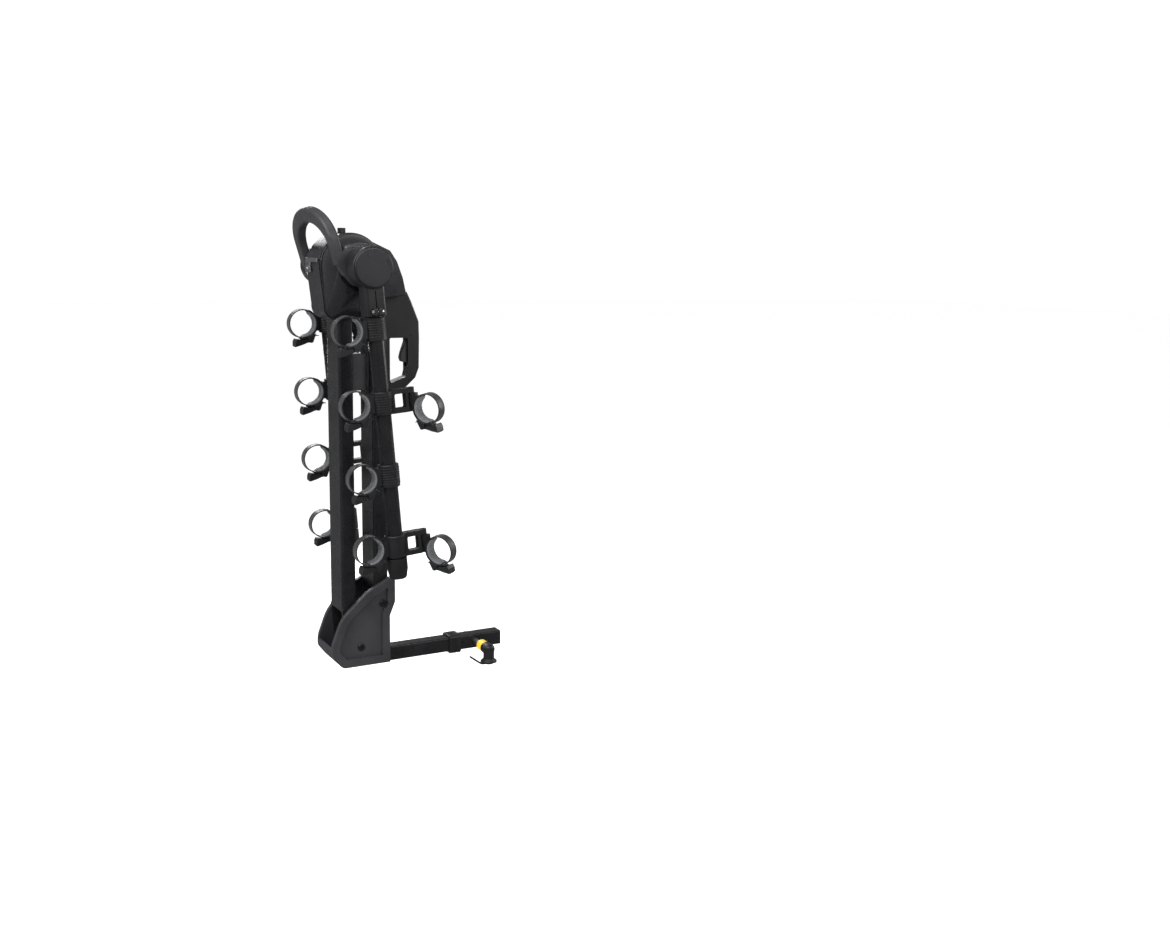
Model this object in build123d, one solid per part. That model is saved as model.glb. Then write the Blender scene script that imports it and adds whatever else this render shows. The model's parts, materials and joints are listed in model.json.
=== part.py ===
"""Hitch mounted bike rack: a glide-away mast pair on a 1-1/4 inch shank, with two fold-down arms.

Frame: +X to the vehicle's right, +Y towards the vehicle, +Z up, millimetres.
The origin is where the hitch pin's axis crosses the axis of the shank.
Every local arm shape is drawn with its tube hanging straight down from the hub axis and is then leaned.
"""
from build123d import *
import os
from math import cos, radians, sin

# Shank, collar and hitch pin
SHANK_SIZE = 31.75
SHANK_WALL = 4.0
SHANK_FIT = 0.05
SHANK_FRONT_Y = 62.0
SHANK_TAIL = 48.0
COLLAR_WALL = 4.6
COLLAR_FRONT_Y = -38.0
COLLAR_LENGTH = 27.0
COLLAR_RIB_COUNT = 5
COLLAR_RIB_DEPTH = 1.6
PIN_RADIUS = 6.35
PIN_FIT = 0.05
PIN_FAR_X = -46.0
PIN_POINT = 2.0
PIN_GROOVE_X = -27.0
PIN_GROOVE_WIDTH = 2.4
PIN_GROOVE_DEPTH = 1.0
PIN_NEAR_X = 84.0
PIN_RING_X = 45.0
PIN_RING_WIDTH = 21.0
PIN_RING_RADIUS = 12.0
PIN_KNOB_X = 66.5
PIN_KNOB_RADIUS = 13.0
PIN_GRIP_X = 84.0
PIN_GRIP_RADIUS = 12.0
PIN_GRIP_DROP = 28.0
PIN_LIP_RADIUS = 18.0
STRAP_WIDTH = 8.0

# Base channel
BASE_RIM_HEIGHT = 11.0
BASE_PANEL_THICKNESS = 5.5
BASE_RIM_WIDTH = 17.0
BASE_EDGE = 1.6
BASE_WEB = 5.0
BASE_BOTTOM_Z = -6.0
BASE_WEB_TOP_Z = 38.0
BASE_FRONT_REACH = 14.0
BASE_REAR_REACH = 64.0
BASE_TOP_RISE = 56.0

# Mast linkage, seen from the side: two equal links on four pivots
REAR_PIVOT_Y = -279.0
REAR_PIVOT_Z = 34.0
PIVOT_STEP_Y = 49.0
PIVOT_STEP_Z = 90.0
LINK_LENGTH = 721.0
MAST_WIDTH = 76.0
MAST_DEPTH = 31.0
MAST_WALL = 2.5
SIDE_CLEARANCE = 2.0
MAST_CORNER = 6.0
REAR_MAST_SETBACK = 22.0
FOOT_HEIGHT = 84.0
FOOT_CHEEK = 7.0
BOSS_RADIUS = 15.0
BOLT_RADIUS = 6.0
BOLT_FIT = 0.05
BOLT_HEAD_RIM = 2.0
BOLT_HEAD_HEIGHT = 2.6
BOLT_WELL_GAP = 3.0

# Release handle and trigger on the front mast
HANDLE_HALF_WIDTH = 14.0
HANDLE_BACK = 17.0
HANDLE_DEPTH = 84.0
HANDLE_GRIP = 27.0
HANDLE_DROP = 69.0
HANDLE_HEIGHT = 210.0
HANDLE_SILL = 24.0
HANDLE_WINDOW_HEIGHT = 91.0
TRIGGER_HALF_WIDTH = 7.0
TRIGGER_GAP = 0.6
TRIGGER_TRAVEL = 13.0
TRIGGER_LENGTH = 56.0
TRIGGER_PIN_RADIUS = 2.5
HORN_REACH = 10.0
HORN_RADIUS = 3.0
PLUNGER_RADIUS = 3.0
PLUNGER_FIT = 0.05
PLUNGER_GAP = 0.3
PLUNGER_TRAVEL = 3.0
BUMPER_RISE = 8.0
BUMPER_HEIGHT = 75.0
BUMPER_HALF_WIDTH = 12.0
BUMPER_GAP = 0.4

# Head housing
HUB_SETBACK = 9.0
HUB_RISE = 72.0
DRUM_RADIUS = 67.0
CHEEK_THICKNESS = 5.0
CHEEK_INSET = 1.5
SPINE_WALL = 5.0
HEAD_DROP = 34.0
NOSE_REACH = 60.0
SHOULDER_LENGTH = 57.0
SHOULDER_END_RADIUS = 47.0
SHOULDER_WALL = 4.0
SHOULDER_INSET = 4.0
NECK_RADIUS = 27.0
NECK_LENGTH = 20.5
NECK_ROOT = 18.0
BUSHING_WALL = 3.0
LOCK_RADIUS = 7.0
LOCK_LENGTH = 20.0
LOCK_X = -22.0
LOCK_DROP = 1.0
LOCK_TAB_HALF = 15.0
LOCK_STRIP_RISE = 7.5
LOCK_STRIP_HEIGHT = 8.5
LOCK_PLATE_THICKNESS = 3.0
TAB_SETBACK = 5.5
TAB_HEIGHT = 9.5

# Hub, arms and bail handle
HUB_TUBE_RADIUS = 20.0
HUB_TUBE_WALL = 3.0
HUB_FIT = 0.05
ARM_GAP = 2.5
ARM_LEAN = 5.05
ARM_TUBE_RADIUS = 15.9
ARM_TUBE_WALL = 2.4
ARM_TUBE_START = 40.0
ARM_TUBE_END = 612.0
ARM_HUB_RADIUS = 41.0
ARM_HUB_RIM = 3.0
CAP_RADIUS = 38.5
CAP_THICKNESS = 5.0
SOCKET_WALL = 4.1
SOCKET_BOLT_RADIUS = 2.5
SOCKET_BOLT_HEAD = 4.2
SOCKET_BOLT_SETOUT = 4.6
SOCKET_LUG_REACH = 9.0
SOCKET_LUG_HALF = 8.0
SOCKET_LUG_HEIGHT = 17.0
SOCKET_SLIT = 48.0
SOCKET_END = 93.0
PLUG_FIT = 0.05
PLUG_SKIRT = 29.0
BAIL_INSET = 2.5
BAIL_BAND = 23.0
BAIL_TOP_BAND = 30.0
BAIL_THICKNESS = 20.0
BAIL_HEIGHT = 120.0
BAIL_TILT = 16.0
BAIL_SETBACK = 44.0
BAIL_COLLAR_RADIUS = 40.0
BAIL_COLLAR_WIDTH = 18.5

# Cradles
CRADLE_COUNT = 4
CRADLE_FIRST = 118.5
CRADLE_END_INSET = 54.0
CRADLE_STANDOFF = 4.0
RING_RADIUS = 31.6
RING_WALL = 3.8
PAD_THICKNESS = 4.4
STRAP_THICKNESS = 2.4
CRADLE_HALF_WIDTH = 12.5
STRAP_HALF_WIDTH = 10.5
CLAMP_WALL = 5.0
CLAMP_HEIGHT = 46.0
SOFT_GAP = 0.3
LEVER_HALF_WIDTH = 11.5
LEVER_PIVOT_U = 12.0
LEVER_PIVOT_DROP = 4.9
LEVER_PIN_RADIUS = 2.0
LEVER_FIT = 0.05
LUG_THICKNESS = 2.5

# Anti-sway cradles, pointing towards the vehicle
SWAY_STEM = 9.4
SWAY_TURN = 57.0
SWAY_DROP = 18.0
SWAY_PIVOT_SETOUT = 15.0
SWAY_WINDOW_SETOUT = 8.1
SWAY_WINDOW_DEPTH = 23.0
SWAY_WINDOW_HALF = 14.5
SWAY_FRAME_HALF = 24.0
SWAY_LUG_HALF_WIDTH = 7.0
SWAY_BARREL_HALF = 13.0
SWAY_TRUNNION_RADIUS = 4.0
SWAY_POSITIONS = {"right": (2, 4), "left": (1, 3)}
SIDES = {"right": 1, "left": -1}

REAR_PIVOT = (REAR_PIVOT_Y, REAR_PIVOT_Z)
FRONT_PIVOT = (REAR_PIVOT_Y + PIVOT_STEP_Y, REAR_PIVOT_Z + PIVOT_STEP_Z)
REAR_TOP_PIVOT = (REAR_PIVOT[0], REAR_PIVOT[1] + LINK_LENGTH)
FRONT_TOP_PIVOT = (FRONT_PIVOT[0], FRONT_PIVOT[1] + LINK_LENGTH)
REAR_MAST_Y = REAR_PIVOT_Y - REAR_MAST_SETBACK
FRONT_MAST_Y = FRONT_PIVOT[0]
MAST_FRONT_FACE_Y = FRONT_MAST_Y + MAST_DEPTH / 2

COLLAR_SIZE = SHANK_SIZE + 2 * COLLAR_WALL
BASE_PANEL_X = MAST_WIDTH / 2 + SIDE_CLEARANCE
BASE_HALF_WIDTH = BASE_PANEL_X + BASE_RIM_HEIGHT
BASE_FRONT_Y = FRONT_PIVOT[0] + BASE_FRONT_REACH
BASE_REAR_Y = REAR_PIVOT[0] - BASE_REAR_REACH
BASE_TOP_Z = FRONT_PIVOT[1] + BASE_TOP_RISE
BOLT_HEAD_RADIUS = BOLT_RADIUS + BOLT_HEAD_RIM
BOLT_WELL_RADIUS = BOLT_HEAD_RADIUS + BOLT_WELL_GAP
HANDLE_TOP_Z = FRONT_TOP_PIVOT[1] - HANDLE_DROP
HANDLE_BOTTOM_Z = HANDLE_TOP_Z - HANDLE_HEIGHT
HANDLE_WINDOW_BOTTOM_Z = HANDLE_BOTTOM_Z + HANDLE_SILL
HANDLE_WINDOW_TOP_Z = HANDLE_WINDOW_BOTTOM_Z + HANDLE_WINDOW_HEIGHT
BUMPER_BOTTOM_Z = HANDLE_BOTTOM_Z + BUMPER_RISE
HUB_Y = REAR_TOP_PIVOT[0] - HUB_SETBACK
HUB_Z = REAR_TOP_PIVOT[1] + HUB_RISE
CHEEK_X = MAST_WIDTH / 2 + SIDE_CLEARANCE
HEAD_BOTTOM_Z = REAR_TOP_PIVOT[1] - HEAD_DROP
HEAD_NOSE_Y = FRONT_TOP_PIVOT[0] + NOSE_REACH
SHOULDER_END_X = CHEEK_X + SHOULDER_LENGTH
NECK_END_X = SHOULDER_END_X + NECK_LENGTH
LOCK_Z = HUB_Z - LOCK_DROP
LOCK_STRIP_Z = HUB_Z + LOCK_STRIP_RISE
SOCKET_HALF = ARM_TUBE_RADIUS + SOCKET_WALL
ARM_HUB_HALF = SOCKET_HALF + ARM_HUB_RIM
ARM_X = NECK_END_X + ARM_GAP + ARM_HUB_HALF
BAIL_HALF_WIDTH = NECK_END_X - BAIL_INSET
CLAMP_RADIUS = ARM_TUBE_RADIUS + CLAMP_WALL
CRADLE_PITCH = (ARM_TUBE_END - CRADLE_END_INSET - CRADLE_FIRST) / (CRADLE_COUNT - 1)
CRADLE_REACH = CLAMP_RADIUS + CRADLE_STANDOFF + RING_RADIUS
LEVER_PIVOT_V = -RING_RADIUS - LEVER_PIVOT_DROP
SWAY_WINDOW_START = ARM_TUBE_RADIUS + SWAY_WINDOW_SETOUT
SWAY_WINDOW_END = SWAY_WINDOW_START + SWAY_WINDOW_DEPTH
SWAY_PIVOT_REACH = SWAY_WINDOW_END + SWAY_PIVOT_SETOUT
SWAY_RING_REACH = RING_RADIUS + SWAY_STEM


def side_prism(face, x0, x1):
    """Extrude a face drawn in (Y, Z) from x0 to x1 along X."""
    return extrude(Plane.YZ.offset(x0) * face, x1 - x0)


def rod_x(y, z, radius, x0, x1):
    """A round bar along X."""
    return side_prism(Pos(y, z) * Circle(radius), x0, x1)


def rod_y(x, z, radius, y0, y1):
    """A round bar along Y."""
    bar = Cylinder(radius, y1 - y0, align=(Align.CENTER, Align.CENTER, Align.MIN))
    return Pos(x, y0, z) * Rot(-90, 0, 0) * bar


def block(x0, x1, y0, y1, z0, z1):
    """An axis-aligned box from its limits."""
    centre = ((x0 + x1) / 2, (y0 + y1) / 2, (z0 + z1) / 2)
    return Pos(*centre) * Box(x1 - x0, y1 - y0, z1 - z0)


def outline(points, radius=0.0):
    """A filled polygon with every corner rounded."""
    face = make_face(Polyline(*points, close=True))
    return fillet(face.vertices(), radius) if radius else face


def polar(radius, angle):
    return (radius * cos(radians(angle)), radius * sin(radians(angle)))


def ring_sector(inner, outer, start, end):
    """A flat ring sector between two angles, in degrees, counter-clockwise."""
    middle = (start + end) / 2
    edges = [
        ThreePointArc(polar(outer, start), polar(outer, middle), polar(outer, end)),
        Line(polar(outer, end), polar(inner, end)),
        ThreePointArc(polar(inner, end), polar(inner, middle), polar(inner, start)),
        Line(polar(inner, start), polar(outer, start)),
    ]
    return make_face(edges)


# ---------------------------------------------------------------- base

def rounded_outline(corners):
    """A filled polygon from (y, z, corner radius) triples."""
    face = make_face(Polyline(*[(y, z) for y, z, _ in corners], close=True))
    for y, z, radius in corners:
        if radius:
            near = face.vertices().sort_by_distance(Vector(y, z, 0))[0]
            face = fillet([near], radius)
    return face


def base_side_face():
    """The side outline of the channel: a leaf that leans back and rises to the front."""
    rear = BASE_REAR_Y
    front = BASE_FRONT_Y
    lower = BASE_BOTTOM_Z
    top = BASE_TOP_Z
    return rounded_outline([
        (front, lower, 0),
        (rear + 22, lower, 16),
        (rear - 0.5, lower + 28, 20),
        (rear - 0.5, lower + 50, 60),
        (rear + 22, lower + 110, 90),
        (rear + 79, lower + 160, 90),
        (rear + 130, top + 1, 6),
        (front + 12, top - 6, 3),
        (front + 12, top - 54, 10),
        (front, top - 84, 10),
    ])


def make_base_channel():
    side = base_side_face()
    panel_outer = BASE_PANEL_X + BASE_PANEL_THICKNESS
    recess = offset(side, -BASE_RIM_WIDTH)
    web = side_prism(side - offset(side, -BASE_WEB), -BASE_PANEL_X, BASE_PANEL_X)
    wide = BASE_HALF_WIDTH
    body = web & block(-wide, wide, BASE_REAR_Y - 5, BASE_FRONT_Y + 1, BASE_BOTTOM_Z - 5, BASE_WEB_TOP_Z)
    for sign in SIDES.values():
        plate = side_prism(side, BASE_PANEL_X, BASE_HALF_WIDTH)
        rim = plate.edges().filter_by(lambda e: abs(e.center().X - BASE_HALF_WIDTH) < 0.01)
        plate = fillet(rim, BASE_EDGE) - side_prism(recess, panel_outer, BASE_HALF_WIDTH + 1)
        body += plate if sign > 0 else mirror(plate, Plane.YZ)
    slot = SHANK_SIZE / 2 + SHANK_FIT
    body -= block(-slot, slot, BASE_FRONT_Y - SHANK_TAIL, BASE_FRONT_Y + 1, -slot, slot)
    for y, z in (REAR_PIVOT, FRONT_PIVOT):
        body -= rod_x(y, z, BOLT_RADIUS + BOLT_FIT, -BASE_HALF_WIDTH - 1, BASE_HALF_WIDTH + 1)
        for sign in SIDES.values():
            body -= rod_x(y, z, BOLT_WELL_RADIUS, sign * panel_outer, sign * (BASE_HALF_WIDTH + 1))
    return body


def make_hitch_shank():
    half = SHANK_SIZE / 2
    back = BASE_FRONT_Y - SHANK_TAIL + SHANK_FIT
    body = block(-half, half, back, SHANK_FRONT_Y, -half, half)
    body = fillet(body.edges().filter_by(Axis.Y), 3)
    inner = half - SHANK_WALL
    body -= block(-inner, inner, back - 1, SHANK_FRONT_Y + 1, -inner, inner)
    return body - rod_x(0, 0, PIN_RADIUS + PIN_FIT, -SHANK_SIZE, SHANK_SIZE)


def make_shank_collar():
    half = COLLAR_SIZE / 2
    y1 = COLLAR_FRONT_Y
    y0 = y1 - COLLAR_LENGTH
    body = block(-half, half, y0, y1, -half, half)
    body = fillet(body.edges().filter_by(Axis.Y), 6)
    body = chamfer(body.faces().sort_by(Axis.Y)[0].edges(), 2)
    spacing = (COLLAR_SIZE - 16) / (COLLAR_RIB_COUNT - 1)
    for i in range(COLLAR_RIB_COUNT):
        at = -half + 8 + i * spacing
        for turn in range(4):
            groove = block(at - 1.2, at + 1.2, y0 + 6, y1 - 8, half - COLLAR_RIB_DEPTH, half + 1)
            body -= Rot(0, 90 * turn, 0) * groove
    bore = SHANK_SIZE / 2 + SHANK_FIT
    return body - block(-bore, bore, y0 - 1, y1 + 1, -bore, bore)


def make_hitch_pin():
    body = rod_x(0, 0, PIN_RADIUS, PIN_FAR_X, PIN_NEAR_X)
    body = chamfer(body.edges().sort_by(Axis.X)[0], PIN_POINT)
    groove = Circle(PIN_RADIUS + 1) - Circle(PIN_RADIUS - PIN_GROOVE_DEPTH)
    body -= side_prism(groove, PIN_GROOVE_X, PIN_GROOVE_X + PIN_GROOVE_WIDTH)
    flange = rod_x(0, 0, PIN_RING_RADIUS - 2, PIN_RING_X - 3, PIN_RING_X - 0.05)
    return body + flange


def make_pin_ring():
    outer = rod_x(0, 0, PIN_RING_RADIUS, PIN_RING_X, PIN_RING_X + PIN_RING_WIDTH)
    outer = fillet(outer.edges(), 2)
    return outer - rod_x(0, 0, PIN_RADIUS + PIN_FIT, PIN_RING_X - 1, PIN_RING_X + PIN_RING_WIDTH + 1)


def make_pin_knob():
    """The moulded knob: a round neck over the pin, and a grip hanging from it that ends in a wide lip."""
    neck = rod_x(0, 0, PIN_KNOB_RADIUS, PIN_KNOB_X, PIN_GRIP_X + 6)
    neck = fillet(neck.edges(), 3)
    align = (Align.CENTER, Align.CENTER, Align.MIN)
    foot = Pos(PIN_GRIP_X, 0, -PIN_GRIP_DROP)
    grip = foot * Cylinder(PIN_GRIP_RADIUS, PIN_GRIP_DROP + PIN_KNOB_RADIUS - 4, align=align)
    grip = chamfer(grip.edges().sort_by(Axis.Z)[-1], 3)
    grip += foot * Cylinder(PIN_LIP_RADIUS, 3, align=align)
    grip += foot * Pos(0, 0, 3) * Cone(PIN_LIP_RADIUS, PIN_GRIP_RADIUS, 5, align=align)
    body = neck + grip
    return body - rod_x(0, 0, PIN_RADIUS + PIN_FIT, PIN_KNOB_X - 1, PIN_NEAR_X + 0.3)


def make_pin_strap():
    """The stiff moulded strap hooked under the knob's lip, running back under the receiver."""
    top = -PIN_GRIP_DROP - 0.05
    points = [
        (8, top), (-PIN_LIP_RADIUS - 1, top), (-30, top + 9), (-44, top + 20),
        (-47, top + 15.5), (-31, top + 4), (-PIN_LIP_RADIUS, top - 4.5), (8, top - 4.5),
    ]
    half = STRAP_WIDTH / 2
    tail = side_prism(outline(points, 1.5), PIN_GRIP_X - half, PIN_GRIP_X + half)
    pad = Pos(PIN_GRIP_X, 0, top - 2.2) * Cylinder(11, 4.4)
    return pad + tail


def bolt(y, z, half_grip, nut_side=False):
    """A shoulder bolt along X with a low socket head at +X, or its cap nut at -X."""
    if nut_side:
        nut = side_prism(Pos(y, z) * RegularPolygon(9, 6), -half_grip - 4.5, -half_grip - 0.05)
        return nut - rod_x(y, z, BOLT_RADIUS, -half_grip - 2.5, -half_grip)
    shank = rod_x(y, z, BOLT_RADIUS, -half_grip - 2.4, half_grip)
    head = rod_x(y, z, BOLT_HEAD_RADIUS, half_grip + 0.05, half_grip + BOLT_HEAD_HEIGHT)
    head = chamfer(head.edges().sort_by(Axis.X)[-1], 1)
    neck = rod_x(y, z, BOLT_RADIUS, half_grip - 1, half_grip + 1)
    socket = side_prism(Pos(y, z) * RegularPolygon(3.6, 6), half_grip + 0.6, half_grip + 4)
    return shank + neck + head - socket


def bolt_pair(pivots, half_grip, nut_side=False):
    return Compound(children=[bolt(y, z, half_grip, nut_side) for y, z in pivots])


def make_head_pivot_pins():
    """Headed pins through both cheeks and the mast ends, their heads sunk flush in the cheeks."""
    pins = []
    outer = CHEEK_X + CHEEK_THICKNESS - 0.3
    inner = outer - BOLT_HEAD_HEIGHT
    for y, z in (REAR_TOP_PIVOT, FRONT_TOP_PIVOT):
        pin = rod_x(y, z, BOLT_RADIUS, -outer, outer)
        for sign in SIDES.values():
            pin += rod_x(y, z, BOLT_HEAD_RADIUS, sign * inner, sign * outer)
        pins.append(pin)
    return Compound(children=pins)


# ---------------------------------------------------------------- masts

def mast_section(wall=0.0):
    section = RectangleRounded(MAST_WIDTH, MAST_DEPTH, MAST_CORNER)
    if wall:
        inner = RectangleRounded(MAST_WIDTH - 2 * wall, MAST_DEPTH - 2 * wall, MAST_CORNER - wall)
        section -= inner
    return section


def mast_tube(y, z0, z1):
    return extrude(Pos(0, y, z0) * mast_section(MAST_WALL), z1 - z0)


def foot_face(pivot, up):
    """The side outline of a rear mast end: from the set-back tube to the boss round the pivot."""
    y, z = pivot
    rear = REAR_MAST_Y - MAST_DEPTH / 2
    front = REAR_MAST_Y + MAST_DEPTH / 2
    points = [
        (rear, z + up * FOOT_HEIGHT),
        (rear + 5, z + up * 10),
        (y - BOSS_RADIUS + 3, z - up * BOSS_RADIUS * 0.8),
        (y, z - up * BOSS_RADIUS * 0.8),
        (y + BOSS_RADIUS * 0.9, z + up * 8),
        (front, z + up * 42),
        (front, z + up * FOOT_HEIGHT),
    ]
    return outline(points) + Pos(y, z) * Circle(BOSS_RADIUS)


def make_rear_mast():
    half = MAST_WIDTH / 2
    low = REAR_PIVOT_Z + FOOT_HEIGHT
    top_drop = 40.0
    high = REAR_TOP_PIVOT[1] - top_drop
    body = mast_tube(REAR_MAST_Y, low - 1, high + 1)
    bottom = side_prism(foot_face(REAR_PIVOT, 1), -half, half)
    top_face = outline([
        (REAR_MAST_Y - MAST_DEPTH / 2, high),
        (REAR_MAST_Y - MAST_DEPTH / 2, high + top_drop - 6),
        (REAR_MAST_Y - MAST_DEPTH / 2 + 14, high + top_drop + 12),
        (REAR_TOP_PIVOT[0], high + top_drop + BOSS_RADIUS),
        (REAR_TOP_PIVOT[0] + BOSS_RADIUS, high + top_drop - 4),
        (REAR_MAST_Y + MAST_DEPTH / 2, high + 6),
        (REAR_MAST_Y + MAST_DEPTH / 2, high),
    ]) + Pos(*REAR_TOP_PIVOT) * Circle(BOSS_RADIUS)
    top = side_prism(top_face, -half, half)
    inner = half - FOOT_CHEEK
    bottom -= block(-inner, inner, BASE_REAR_Y, REAR_MAST_Y + 60, 0, low - 6)
    top -= block(-inner, inner, BASE_REAR_Y - 40, REAR_MAST_Y + 80, high + 6, high + 90)
    body = body + bottom + top
    for y, z in (REAR_PIVOT, REAR_TOP_PIVOT):
        body -= rod_x(y, z, BOLT_RADIUS + BOLT_FIT, -half - 1, half + 1)
    return body


def make_front_mast():
    half = MAST_WIDTH / 2
    y = FRONT_MAST_Y
    z0 = FRONT_PIVOT[1]
    z1 = FRONT_TOP_PIVOT[1]
    rounded = SlotOverall(z1 - z0 + MAST_DEPTH, MAST_DEPTH)
    profile = side_prism(Pos(y, (z0 + z1) / 2) * Rot(0, 0, 90) * rounded, -half, half)
    section = extrude(Pos(0, y, z0 - 40) * mast_section(), z1 - z0 + 80)
    hollow = extrude(
        Pos(0, y, z0 + 30)
        * RectangleRounded(MAST_WIDTH - 2 * MAST_WALL, MAST_DEPTH - 2 * MAST_WALL, MAST_CORNER - MAST_WALL),
        z1 - z0 - 60,
    )
    body = (profile & section) - hollow
    inner = half - FOOT_CHEEK
    for low, high in ((z0 - 30, z0 + 24), (z1 - 24, z1 + 30)):
        body -= block(-inner, inner, y - 40, y + 40, low, high)
    for z in (z0, z1):
        body -= rod_x(y, z, BOLT_RADIUS + BOLT_FIT, -half - 1, half + 1)
    return body


def make_mast_bumper():
    """The block on the back of the front mast that the rear mast closes against."""
    front = FRONT_MAST_Y - MAST_DEPTH / 2 - 0.05
    rear = REAR_MAST_Y + MAST_DEPTH / 2 + BUMPER_GAP
    top = BUMPER_BOTTOM_Z + BUMPER_HEIGHT
    half = BUMPER_HALF_WIDTH
    body = block(-half, half, rear, front, BUMPER_BOTTOM_Z, top)
    body = fillet(body.edges().filter_by(Axis.X).group_by(Axis.Z)[-1].sort_by(Axis.Y)[0], 9)
    return body + block(-half - 7, half + 7, front - 4, front, BUMPER_BOTTOM_Z - 6, top + 6)


def handle_face():
    """The side outline of the D-shaped release handle on the front mast."""
    back = MAST_FRONT_FACE_Y + 0.05
    front = MAST_FRONT_FACE_Y + HANDLE_DEPTH
    points = [
        (back, HANDLE_BOTTOM_Z),
        (front - 56, HANDLE_BOTTOM_Z),
        (front - 33, HANDLE_BOTTOM_Z + 9),
        (front - 9, HANDLE_BOTTOM_Z + 31),
        (front - 1, HANDLE_BOTTOM_Z + 52),
        (front, HANDLE_WINDOW_TOP_Z),
        (front - 1, HANDLE_WINDOW_TOP_Z + 34),
        (front - 18, HANDLE_TOP_Z - 19),
        (front - 27, HANDLE_TOP_Z),
        (back, HANDLE_TOP_Z),
    ]
    return outline(points)


def handle_window():
    left = MAST_FRONT_FACE_Y + HANDLE_BACK
    right = MAST_FRONT_FACE_Y + HANDLE_DEPTH - HANDLE_GRIP
    points = [
        (left, HANDLE_WINDOW_BOTTOM_Z - 3),
        (right - 3, HANDLE_WINDOW_BOTTOM_Z + 10),
        (right, HANDLE_WINDOW_BOTTOM_Z + 22),
        (right, HANDLE_WINDOW_TOP_Z),
        (left, HANDLE_WINDOW_TOP_Z),
    ]
    return outline(points, 3)


def trigger_pivot():
    return (MAST_FRONT_FACE_Y + HANDLE_DEPTH - HANDLE_GRIP + 6, HANDLE_WINDOW_TOP_Z + 4)


def plunger_rod(radius, y0, y1):
    """A round bar along Y through the handle's top, level with the trigger's horn."""
    return rod_y(0, trigger_pivot()[1] + HORN_REACH, radius, y0, y1)


def make_handle_frame():
    half = HANDLE_HALF_WIDTH
    body = side_prism(handle_face(), -half, half)
    front_edges = body.edges().filter_by(lambda e: e.center().Y > MAST_FRONT_FACE_Y + 20 and abs(e.center().X) > half - 0.1)
    body = fillet(front_edges, 5)
    body -= side_prism(handle_window(), -half - 1, half + 1)
    y, z = trigger_pivot()
    slot = TRIGGER_HALF_WIDTH + TRIGGER_GAP
    top = z + HORN_REACH + HORN_RADIUS + 1.5
    body -= block(-slot, slot, y - 10, y + TRIGGER_TRAVEL + 3, z - TRIGGER_LENGTH - 8, top)
    body -= rod_x(y, z, TRIGGER_PIN_RADIUS, -half - 1, half + 1)
    return body - plunger_rod(PLUNGER_RADIUS + PLUNGER_FIT, MAST_FRONT_FACE_Y, y)


def make_release_trigger():
    y, z = trigger_pivot()
    points = [
        (y + 5, z + 5),
        (y - 5, z + 5),
        (y - 7.5, z - 8),
        (y - 17, z - 34),
        (y - 20, z - 46),
        (y - 17, z - 54),
        (y - 10, z - TRIGGER_LENGTH),
        (y + 2, z - TRIGGER_LENGTH),
        (y + 5, z - 40),
    ]
    horn = Pos(y, z + HORN_REACH) * Circle(HORN_RADIUS)
    horn += Pos(y, z + HORN_REACH / 2) * Rectangle(HORN_RADIUS, HORN_REACH)
    face = outline(points, 1.5) + horn
    body = side_prism(face, -TRIGGER_HALF_WIDTH, TRIGGER_HALF_WIDTH)
    side_edges = body.edges().filter_by(lambda e: abs(e.center().X) > TRIGGER_HALF_WIDTH - 0.1)
    body = fillet(side_edges.filter_by(lambda e: e.center().Z < z - 6), 1.0)
    return body - rod_x(y, z, TRIGGER_PIN_RADIUS + BOLT_FIT, -20, 20)


def make_trigger_pin():
    y, z = trigger_pivot()
    half = HANDLE_HALF_WIDTH - 1
    return rod_x(y, z, TRIGGER_PIN_RADIUS, -half, half)


def make_release_plunger():
    """The push rod inside the handle that the trigger's horn drives towards the mast."""
    tail = MAST_FRONT_FACE_Y + PLUNGER_TRAVEL
    tip = trigger_pivot()[0] - HORN_RADIUS - PLUNGER_GAP
    body = plunger_rod(PLUNGER_RADIUS, tail, tip)
    return chamfer(body.edges().sort_by(Axis.Y)[0], 0.8)


# ---------------------------------------------------------------- head

def head_face(inset=0.0):
    """The side outline of the head, round the hub at the top and straight down the back."""
    radius = DRUM_RADIUS - inset
    rear = HUB_Y - radius
    bottom = HEAD_BOTTOM_Z + inset
    nose = HEAD_NOSE_Y - inset
    lead = (HUB_Y + radius * cos(radians(48)), HUB_Z + radius * sin(radians(48)))
    lower_rear = (rear + 9, HEAD_BOTTOM_Z + 30)
    edges = [
        ThreePointArc((rear, HUB_Z), (HUB_Y - radius * sin(radians(21)), HUB_Z + radius * cos(radians(21))), lead),
        Line(lead, (nose - 36 + 1, HUB_Z + 33 - inset)),
        Line((nose - 36 + 1, HUB_Z + 33 - inset), (nose - 20, HUB_Z + 11)),
        Line((nose - 20, HUB_Z + 11), (nose - 8, HUB_Z - 21)),
        Line((nose - 8, HUB_Z - 21), (nose, HUB_Z - 57)),
        Line((nose, HUB_Z - 57), (nose - 46, HUB_Z - 63)),
        Line((nose - 46, HUB_Z - 63), (nose - 80, bottom)),
        Line((nose - 80, bottom), (rear + 30, bottom)),
        ThreePointArc((rear + 30, bottom), (rear + 16, bottom + 8), lower_rear),
        Line(lower_rear, (rear, HUB_Z)),
    ]
    return make_face(edges)


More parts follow.
